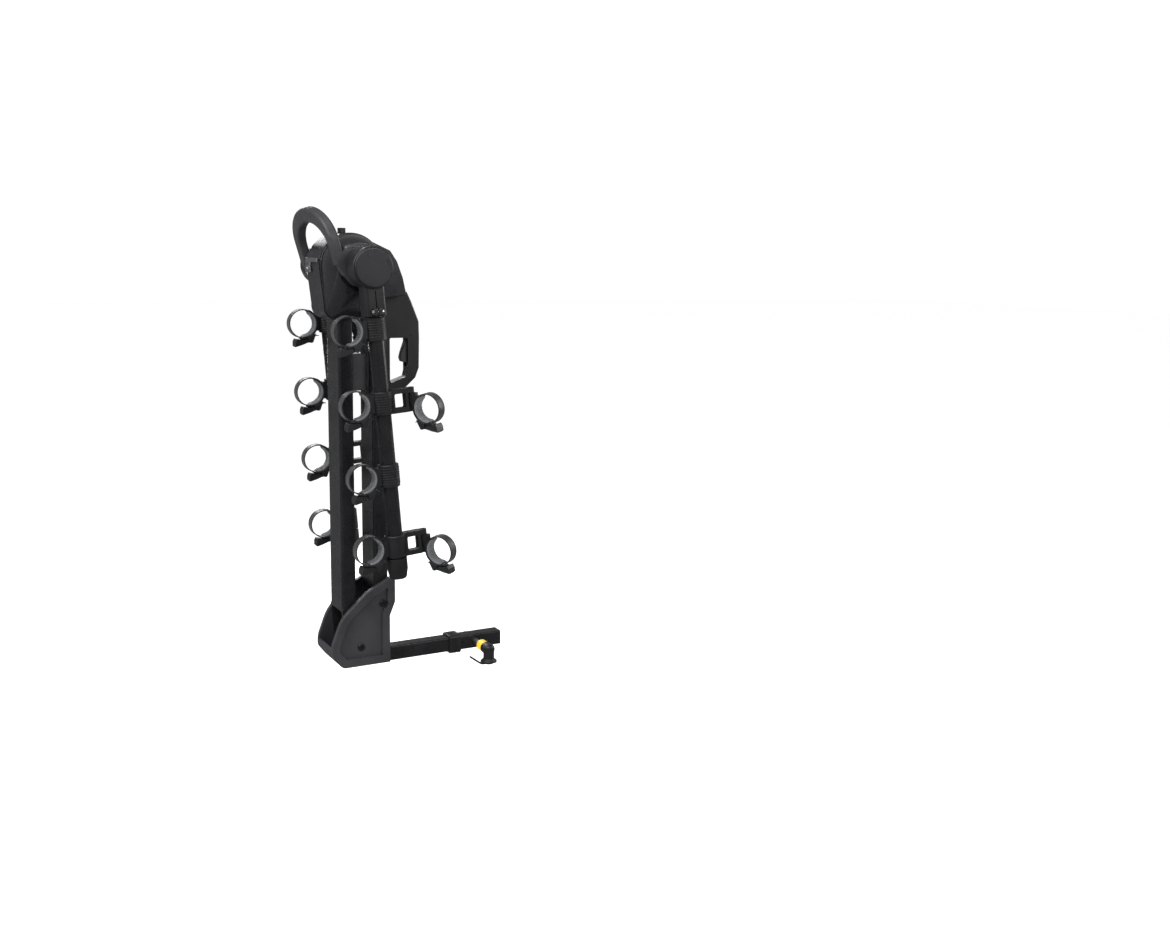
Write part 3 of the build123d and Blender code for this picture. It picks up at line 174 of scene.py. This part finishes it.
PAINT = finish_material("powder_coat", (0.005, 0.005, 0.006), (0.009, 0.009, 0.010), (0.24, 0.34),
                        grain=1700, bump=0.08, edge=1.2 * MM)
BASE_PAINT = finish_material("base_powder_coat", (0.020, 0.020, 0.023), (0.028, 0.028, 0.032), (0.36, 0.48),
                             grain=1500, bump=0.26, edge=2.2 * MM)
CASTING = finish_material("cast_black", (0.006, 0.006, 0.007), (0.011, 0.011, 0.012), (0.34, 0.46),
                          grain=900, bump=0.35, edge=1.4 * MM)
PLASTIC = finish_material("black_plastic", (0.005, 0.005, 0.006), (0.009, 0.009, 0.010), (0.34, 0.48),
                          grain=1500, bump=0.30, edge=0.8 * MM)
SATIN = finish_material("satin_plastic", (0.006, 0.006, 0.008), (0.010, 0.010, 0.012), (0.26, 0.36),
                        grain=1900, bump=0.08, edge=1.6 * MM)
GLOSS = finish_material("gloss_plastic", (0.005, 0.005, 0.007), (0.008, 0.008, 0.011), (0.20, 0.28),
                        grain=2200, bump=0.03, edge=1.5 * MM, coat=0.35, specular=0.5)
GREY = finish_material("grey_plastic", (0.022, 0.022, 0.024), (0.032, 0.032, 0.035), (0.40, 0.54),
                       grain=1300, bump=0.30, edge=1.0 * MM)
STRAP = finish_material("strap_rubber", (0.006, 0.006, 0.007), (0.011, 0.011, 0.012), (0.34, 0.5),
                        grain=1100, bump=0.25, edge=0.4 * MM, sheen=0.1)
PAD = finish_material("pad_rubber", (0.060, 0.062, 0.066), (0.10, 0.103, 0.108), (0.45, 0.62),
                      grain=900, bump=0.35, edge=0.4 * MM, sheen=0.15)
STEEL = finish_material("zinc_steel", (0.36, 0.36, 0.37), (0.48, 0.48, 0.49), (0.26, 0.42), metallic=1.0,
                        grain=900, bump=0.10, edge=0.5 * MM, stretch=(0.15, 1.0, 1.0))
SILVER = finish_material("silver_plate", (0.22, 0.22, 0.23), (0.30, 0.30, 0.31), (0.30, 0.42), metallic=1.0,
                         grain=1100, bump=0.10, edge=0.5 * MM, stretch=(0.08, 1.0, 1.0))
DARK_BOLT = finish_material("black_oxide", (0.022, 0.022, 0.024), (0.034, 0.034, 0.036), (0.30, 0.45),
                            metallic=0.9, grain=900, bump=0.10, edge=0.5 * MM)
YELLOW = finish_material("yellow_plastic", (0.72, 0.43, 0.015), (0.85, 0.54, 0.03), (0.28, 0.42),
                         grain=1200, bump=0.12, edge=0.8 * MM)
ACETAL = finish_material("acetal", (0.62, 0.60, 0.55), (0.70, 0.68, 0.63), (0.38, 0.5), edge=0.3 * MM)


def node_material(name):
    rules = [
        (("base_channel",), BASE_PAINT),
        (("pin_ring",), YELLOW),
        (("lock_plate",), SILVER),
        (("hub_bushings",), ACETAL),
        (("base_pivot_bolts", "head_pivot_pins", "trigger_pin"), DARK_BOLT),
        (("lock_barrel", "base_pivot_nuts", "socket_bolts", "release_plunger", "hitch_pin"), STEEL),
        (("shoulder_",), GLOSS),
        (("head_", "hub_caps"), SATIN),
        (("bail_handle", "release_trigger", "mast_bumper"), GREY),
        (("arm_hub_",), CASTING),
        (("straps_", "sway_cradle_"), STRAP),
        (("pads_",), PAD),
        (("arm_end_caps", "handle_frame", "shank_collar", "pin_", "top_tab", "lever_", "sway_lever_",
          "saddles_", "brackets_"), PLASTIC),
    ]
    for starts, material in rules:
        if name.startswith(starts):
            return material
    return PAINT


def dress_nodes():
    for name, node in NODES.items():
        node.data.materials.clear()
        node.data.materials.append(node_material(name))


# ---------------------------------------------------------------- mesh helpers

def add_piece(name, verts, faces, material, body, smooth=True):
    mesh = bpy.data.meshes.new(name)
    mesh.from_pydata([tuple(v) for v in verts], [], faces)
    mesh.validate()
    mesh.update()
    mesh.materials.append(material)
    piece = bpy.data.objects.new(name, mesh)
    bpy.context.scene.collection.objects.link(piece)
    if smooth:
        mesh.shade_smooth()
        mesh.set_sharp_from_angle(angle=radians(38))
    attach(piece, body)
    return piece


class Shell:
    """Collects vertices and faces of several closed forms for one piece."""

    def __init__(self):
        self.verts = []
        self.faces = []

    def loft(self, loops, closed=False):
        """Join equal closed loops of points; cap both ends unless the loft closes on itself."""
        base = len(self.verts)
        count = len(loops[0])
        for loop in loops:
            self.verts.extend(loop)
        rows = len(loops)
        last = rows if closed else rows - 1
        for i in range(last):
            for j in range(count):
                a = base + i * count + j
                b = base + i * count + (j + 1) % count
                c = base + ((i + 1) % rows) * count + (j + 1) % count
                d = base + ((i + 1) % rows) * count + j
                self.faces.append((a, b, c, d))
        if not closed:
            self.faces.append(tuple(base + j for j in reversed(range(count))))
            self.faces.append(tuple(base + (rows - 1) * count + j for j in range(count)))


def rounded_section(half_width, half_height, radius, steps=4):
    """A closed rounded rectangle as (across, up) pairs."""
    points = []
    corners = ((1, 1, 0), (-1, 1, 90), (-1, -1, 180), (1, -1, 270))
    for sx, sy, start in corners:
        for k in range(steps + 1):
            angle = radians(start + 90 * k / steps)
            points.append((sx * (half_width - radius) + radius * cos(angle),
                           sy * (half_height - radius) + radius * sin(angle)))
    return points


def smooth_path(points, per_span=10):
    """Catmull-Rom samples through (y, z) points."""
    pts = [Vector(p) for p in points]
    pts = [2 * pts[0] - pts[1]] + pts + [2 * pts[-1] - pts[-2]]
    out = []
    for i in range(1, len(pts) - 2):
        a, b, c, d = pts[i - 1:i + 3]
        for k in range(per_span):
            t = k / per_span
            out.append(0.5 * ((2 * b) + (c - a) * t + (2 * a - 5 * b + 4 * c - d) * t * t
                              + (3 * b - a - 3 * c + d) * t ** 3))
    out.append(pts[-2])
    return out


# ---------------------------------------------------------------- cradles, in the ring's own frame (x, u, v)

def opening_centre(name):
    low, high = OPENINGS[name]
    return (Vector(low) + Vector(high)) / 2


def ring_matrix(name):
    return Matrix.Translation(opening_centre(name)) @ Matrix.Rotation(LEAN, 4, "X")


def sway_matrix(side, number):
    """The frame of a turned anti-sway ring, from its swivel and its lever's pivot."""
    across = -Vector(JOINTS[f"sway_lever_{side}_{number}_lift"]["axis"])
    upright = Vector(JOINTS[f"sway_swivel_{side}_{number}"]["axis"])
    matrix = Matrix((across, upright.cross(across), upright)).transposed().to_4x4()
    matrix.translation = opening_centre(f"sway_cradle_{side}_{number}")
    return matrix


def place(matrix, direction, x, u, v):
    return matrix @ Vector((x * MM, direction * u * MM, v * MM))


def arc_loops(matrix, direction, start, end, steps, section):
    """Loops of an arc band; section(angle) gives (x, radius) pairs."""
    loops = []
    for i in range(steps + 1):
        angle = start + (end - start) * i / steps
        c, s = cos(radians(angle)), sin(radians(angle))
        loops.append([place(matrix, direction, x, r * c, r * s) for x, r in section(angle)])
    return loops


def pad_section(angle):
    """The ribbed rubber pad: ribs across the ring, thinner towards the two ends."""
    wave = 0.5 - 0.5 * cos(2 * pi * angle / PAD_RIB)
    rib = 1.15 * wave ** 0.7
    end = min(1.0, min(angle - PAD_FROM, PAD_TO - angle) / PAD_RIB)
    inner = PAD_FACE - rib * max(end, 0.0) + 1.6 * (1 - max(end, 0.0))
    half = PAD_HALF + 0.35 * wave
    return [(-half, PAD_BACK), (-half, inner + 1.6), (-half + 0.6, inner + 0.5), (-half + 1.8, inner),
            (0, inner + 0.25), (half - 1.8, inner), (half - 0.6, inner + 0.5), (half, inner + 1.6),
            (half, PAD_BACK)]


def strap_section(angle):
    """The ratchet strap: smooth outside with raised borders, fine teeth inside."""
    phase = (angle / STRAP_TOOTH) % 1.0
    tooth = 0.95 * (phase if phase < 0.75 else 3.0 * (1 - phase))
    half = STRAP_HALF
    inner = 28.9 - tooth
    return [(-half, 28.7), (-half, 30.2), (-half + 0.8, 30.75), (-half + 2.2, 30.7), (-half + 2.6, 30.35),
            (half - 2.6, 30.35), (half - 2.2, 30.7), (half - 0.8, 30.75), (half, 30.2), (half, 28.7),
            (half - 1.6, 28.6), (half - 1.8, inner), (-half + 1.8, inner), (-half + 1.6, 28.6)]


def add_tail(shell, matrix, direction):
    """The strap's free end, which comes out of the buckle and curls back towards the arm."""
    path = smooth_path(TAIL_PATH, 8)
    loops = []
    for i, p in enumerate(path):
        before, after = path[max(i - 1, 0)], path[min(i + 1, len(path) - 1)]
        tangent = (after - before).normalized()
        normal = Vector((-tangent.y, tangent.x))
        t = i / (len(path) - 1)
        width = TAIL_HALF * (1.0 if t < 0.86 else 1.0 - 0.55 * ((t - 0.86) / 0.14) ** 2)
        loop = []
        for a, b in rounded_section(width, TAIL_THICK, 0.6, 2):
            q = p + normal * b
            loop.append(place(matrix, direction, a, q.x, q.y))
        loops.append(loop)
    shell.loft(loops)


def soft_cradle(matrix, direction, pad, strap):
    pad.loft(arc_loops(matrix, direction, PAD_FROM, PAD_TO, 176, pad_section))
    strap.loft(arc_loops(matrix, direction, STRAP_FROM, STRAP_TO, 256, strap_section))
    add_tail(strap, matrix, direction)


def lever_ridges(shell, matrix, direction):
    """Thumb ridges and a raised border on the underside of a buckle lever."""
    for u, v in THUMB_RIDGES:
        loops = []
        for k in range(13):
            x = -THUMB_HALF + 2 * THUMB_HALF * k / 12
            size = 0.75 * (1 - abs(x / THUMB_HALF) ** 6 * 0.6)
            turns = [2 * pi * j / 10 for j in range(10)]
            loops.append([place(matrix, direction, x, u + size * cos(turn), v + size * sin(turn))
                          for turn in turns])
        shell.loft(loops)
    turns = [2 * pi * j / 8 for j in range(8)]
    for x in (-LEVER_EDGE_X, LEVER_EDGE_X):
        edge = smooth_path(LEVER_EDGE, 8)
        shell.loft([[place(matrix, direction, x + 0.8 * cos(turn), p.x, p.y + 0.8 * sin(turn))
                     for turn in turns] for p in edge])


def clamp_ribs(shell, side, number):
    """Grip ribs round the two halves of one clamp sleeve."""
    ring = opening_centre(f"cradle_{side}_{number}")
    axis = Matrix.Rotation(LEAN, 4, "X")
    centre = ring + axis @ Vector((0, CLAMP_REACH * MM, 0))
    for height in CLAMP_RIBS:
        loops = []
        for k in range(72):
            angle = 2 * pi * k / 72
            c, s = cos(angle), sin(angle)
            loop = []
            for a, b in rounded_section(0.9, 1.1, 0.7, 2):
                r = (CLAMP_RADIUS + a) * MM
                loop.append(centre + axis @ Vector((r * c, r * s, (height + b) * MM)))
            loops.append(loop)
        shell.loft(loops, closed=True)


def spot(co):
    """A point rounded to a micrometre, so that doubled corners count as one."""
    return round(co.x, 6), round(co.y, 6), round(co.z, 6)


def island_copy(node, name, material, body):
    """The largest connected form of a CAD node, as a piece of its own."""
    source = NODES[node].data
    verts = [v.co.copy() for v in source.vertices]
    parent = list(range(len(verts)))

    def root(i):
        while parent[i] != i:
            parent[i] = parent[parent[i]]
            i = parent[i]
        return i

    seen = {}
    for i, co in enumerate(verts):
        key = spot(co)
        if key in seen:
            parent[root(i)] = root(seen[key])
        else:
            seen[key] = i
    for polygon in source.polygons:
        first = root(polygon.vertices[0])
        for i in polygon.vertices[1:]:
            parent[root(i)] = first
            first = root(first)
    groups = {}
    for i, co in enumerate(verts):
        groups.setdefault(root(i), []).append(i)

    def spread(items):
        xs = [verts[i].x for i in items]
        ys = [verts[i].y for i in items]
        zs = [verts[i].z for i in items]
        return (max(xs) - min(xs)) * (max(ys) - min(ys)) * (max(zs) - min(zs))

    keep = max(groups.values(), key=spread)
    index = {i: seen[spot(verts[i])] for i in keep}
    order = sorted(set(index.values()))
    number = {old: new for new, old in enumerate(order)}
    out = [verts[i] for i in order]
    faces = []
    for polygon in source.polygons:
        if polygon.vertices[0] in index:
            face = [number[index[i]] for i in polygon.vertices]
            if len(set(face)) == len(face):
                faces.append(tuple(face))
    return add_piece(name, out, faces, material, body)


def build_cradles():
    for side in SIDES:
        pad, strap, ribs = Shell(), Shell(), Shell()
        for number in CRADLES:
            matrix = ring_matrix(f"cradle_{side}_{number}")
            soft_cradle(matrix, 1, pad, strap)
            if number != END_CRADLE:
                clamp_ribs(ribs, side, number)
            ridges = Shell()
            lever_ridges(ridges, matrix, 1)
            add_piece(f"lever_ridges_{side}_{number}", ridges.verts, ridges.faces, PLASTIC,
                      f"lever_{side}_{number}")
        piece = add_piece(f"ribbed_pads_{side}", pad.verts, pad.faces, PAD, "arms")
        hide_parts(f"pads_{side}")
        piece = add_piece(f"toothed_straps_{side}", strap.verts, strap.faces, STRAP, "arms")
        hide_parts(f"straps_{side}")
        add_piece(f"clamp_ribs_{side}", ribs.verts, ribs.faces, PLASTIC, "arms")
        for number in SWAY[side]:
            build_sway_cradle(side, number)


def build_sway_cradle(side, number):
    node = f"sway_cradle_{side}_{number}"
    matrix = sway_matrix(side, number)
    hard = island_copy(node, f"sway_saddle_{side}_{number}", PLASTIC, node)
    pad, strap, ridges = Shell(), Shell(), Shell()
    soft_cradle(matrix, -1, pad, strap)
    lever_ridges(ridges, matrix, -1)
    add_piece(f"sway_pad_{side}_{number}", pad.verts, pad.faces, PAD, node)
    add_piece(f"sway_strap_{side}_{number}", strap.verts, strap.faces, STRAP, node)
    add_piece(f"sway_ridges_{side}_{number}", ridges.verts, ridges.faces, PLASTIC,
              f"sway_lever_{side}_{number}")
    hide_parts(node)


# ---------------------------------------------------------------- the pin's tether

def build_tether():
    """The moulded strap under the knob, round and slightly bowed, with an eye on the knob's foot."""
    low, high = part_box("pin_strap")
    knob_low, knob_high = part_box("pin_knob")
    x = (low.x + high.x) / 2
    foot = knob_low.z
    path = smooth_path([(high.y - 0.004, foot - 0.0022), (knob_low.y + 0.010, foot - 0.0023),
                        (knob_low.y - 0.0005, foot - 0.0012), (knob_low.y - 0.0125, foot + 0.0068),
                        (low.y + 0.002, foot + 0.0172)], 12)
    shell = Shell()
    loops = []
    for i, p in enumerate(path):
        before, after = path[max(i - 1, 0)], path[min(i + 1, len(path) - 1)]
        tangent = (after - before).normalized()
        normal = Vector((-tangent.y, tangent.x))
        loop = []
        for a, b in rounded_section(0.0038, 0.0021, 0.0016, 4):
            q = p + normal * b
            loop.append(Vector((x + a, q.x, q.y)))
        loops.append(loop)
    shell.loft(loops)
    eye = []
    for k in range(64):
        angle = 2 * pi * k / 64
        eye.append([Vector((x + (0.0075 + a) * cos(angle), (0.0075 + a) * sin(angle), foot - 0.0021 + b))
                    for a, b in rounded_section(0.0034, 0.0019, 0.0014, 3)])
    shell.loft(eye, closed=True)
    piece = add_piece("pin_tether", shell.verts, shell.faces, STRAP, "pin")
    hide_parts("pin_strap")


# ---------------------------------------------------------------- room, lights and camera

def flat_material(name, colour, roughness):
    material, nodes, links, shader = new_material(name)
    shader.inputs["Base Color"].default_value = (*colour, 1)
    shader.inputs["Roughness"].default_value = roughness
    return material


def build_room():
    z = CAD_BOX[0][2] - FLOOR_DROP
    bpy.ops.mesh.primitive_plane_add(size=60, location=(0, 0, z))
    floor = bpy.context.object
    floor.name = "floor"
    floor.data.materials.append(flat_material("floor_paint", (0.94, 0.94, 0.94), 0.9))
    floor.visible_glossy = False
    build_world()


def build_world():
    """A white surround that lights the object only dimly, so that its dark parts keep their shape."""
    world = bpy.data.worlds.new("studio")
    bpy.context.scene.world = world
    world.use_nodes = True
    nodes, links = world.node_tree.nodes, world.node_tree.links
    background = nodes["Background"]
    background.inputs["Color"].default_value = (1, 1, 1, 1)
    seen = nodes.new("ShaderNodeLightPath").outputs["Is Camera Ray"]
    links.new(ramp(nodes, links, seen, 0.24, 1.05, 0.0, 1.0), background.inputs["Strength"])


def area_light(name, location, size, power):
    light = bpy.data.lights.new(name, "AREA")
    light.shape = "RECTANGLE"
    light.size = size[0]
    light.size_y = size[1]
    light.energy = power
    obj = bpy.data.objects.new(name, light)
    bpy.context.scene.collection.objects.link(obj)
    obj.location = location
    obj.rotation_euler = (Vector(LIGHT_TARGET) - Vector(location)).to_track_quat("-Z", "Y").to_euler()


def build_lights():
    sun = bpy.data.lights.new("sky", "SUN")
    sun.energy = 3.1
    sun.angle = radians(50)
    lamp = bpy.data.objects.new("sky", sun)
    bpy.context.scene.collection.objects.link(lamp)
    lamp.rotation_euler = Vector((-0.2, 0.5, -1.0)).to_track_quat("-Z", "Y").to_euler()
    area_light("key", (0.3, -2.6, 1.9), (0.9, 1.5), 60)
    area_light("side", (3.0, 0.9, 1.9), (0.9, 1.6), 45)
    area_light("back", (0.2, 2.6, 1.3), (1.6, 1.6), 40)
    area_light("high", (2.1, -1.4, 2.5), (0.5, 0.5), 28)
    area_light("fill", (-2.8, 0.1, 1.0), (0.8, 1.4), 30)


def build_camera():
    yaw, pitch, roll = (radians(angle) for angle in CAMERA_TURN)
    forward = Vector((-sin(yaw) * cos(pitch), cos(yaw) * cos(pitch), -sin(pitch)))
    right = Vector((cos(yaw), sin(yaw), 0))
    up = right.cross(forward)
    rolled_right = cos(roll) * right + sin(roll) * up
    rolled_up = -sin(roll) * right + cos(roll) * up
    data = bpy.data.cameras.new("camera")
    data.sensor_width = 36
    data.lens = CAMERA_LENS
    data.clip_start = 0.05
    camera = bpy.data.objects.new("camera", data)
    bpy.context.scene.collection.objects.link(camera)
    matrix = Matrix((rolled_right, rolled_up, -forward)).transposed().to_4x4()
    matrix.translation = Vector(CAMERA_PLACE)
    camera.matrix_world = matrix
    bpy.context.scene.camera = camera


def write_sizes():
    bpy.context.view_layer.update()


bpy.context.scene.view_settings.view_transform = "Standard"
dress_nodes()
build_cradles()
build_tether()
build_room()
build_lights()
build_camera()
write_sizes()
